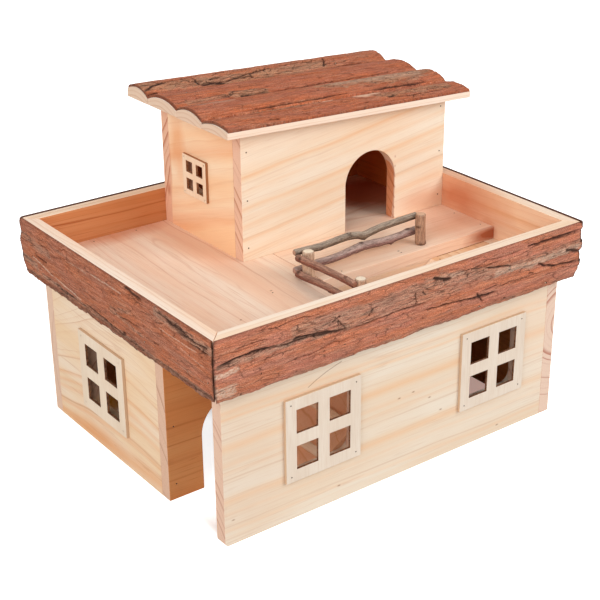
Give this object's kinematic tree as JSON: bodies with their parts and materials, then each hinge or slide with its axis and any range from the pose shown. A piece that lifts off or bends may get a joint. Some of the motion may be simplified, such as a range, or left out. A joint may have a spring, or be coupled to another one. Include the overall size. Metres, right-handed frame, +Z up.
{
  "type": "hamster house",
  "caption": "Wooden small-animal house with a corridor and ramp below, a bark-rimmed terrace with a twig fence, and an upper cabin under a tilted half-log roof.",
  "frame": {"origin": "middle of the house's outline on the ground", "axes": "+X along the front to the right, +Y from the front to the back, +Z up"},
  "size_m": [0.3896, 0.3114, 0.2816],
  "materials": {
    "pine": "sawn and sanded, untreated",
    "half_log_wood": "sawn, untreated",
    "plywood": "cut by laser, edges browned",
    "bark": "natural bark",
    "twig": "natural and peeled twigs",
    "nail_steel": "plain wire brads"
  },
  "bodies": {
    "root": {"back_wall": "pine", "cabin_back": "pine", "cabin_front": "pine", "cabin_left_wall": "pine", "cabin_nails": "nail_steel", "cabin_right_wall": "pine", "cabin_window": "plywood", "corridor_partition": "pine", "fence_nails": "nail_steel", "fence_post_corner": "twig", "fence_post_end": "twig", "fence_post_front": "twig", "fence_rail_long_lower": "twig", "fence_rail_long_upper": "twig", "fence_rail_short_lower": "twig", "fence_rail_short_upper": "twig", "floor_nails": "nail_steel", "front_wall": "pine", "front_window_left": "plywood", "front_window_right": "plywood", "landing_board": "pine", "left_wall": "pine", "left_window": "plywood", "ramp_bearer": "pine", "ramp_board": "pine", "ramp_nails": "nail_steel", "ramp_rungs": "pine", "right_wall": "pine", "rim_back": "half_log_wood", "rim_bark_back": "bark", "rim_bark_front": "bark", "rim_bark_left": "bark", "rim_bark_right": "bark", "rim_front": "half_log_wood", "rim_left": "half_log_wood", "rim_nails": "nail_steel", "rim_right": "half_log_wood", "roof_bark_1": "bark", "roof_bark_2": "bark", "roof_bark_3": "bark", "roof_bark_4": "bark", "roof_nails": "nail_steel", "roof_slab_1": "half_log_wood", "roof_slab_2": "half_log_wood", "roof_slab_3": "half_log_wood", "roof_slab_4": "half_log_wood", "terrace_floor_left": "pine", "terrace_floor_right": "pine", "wall_nails": "nail_steel", "window_pins": "nail_steel"}
  },
  "joints": []
}
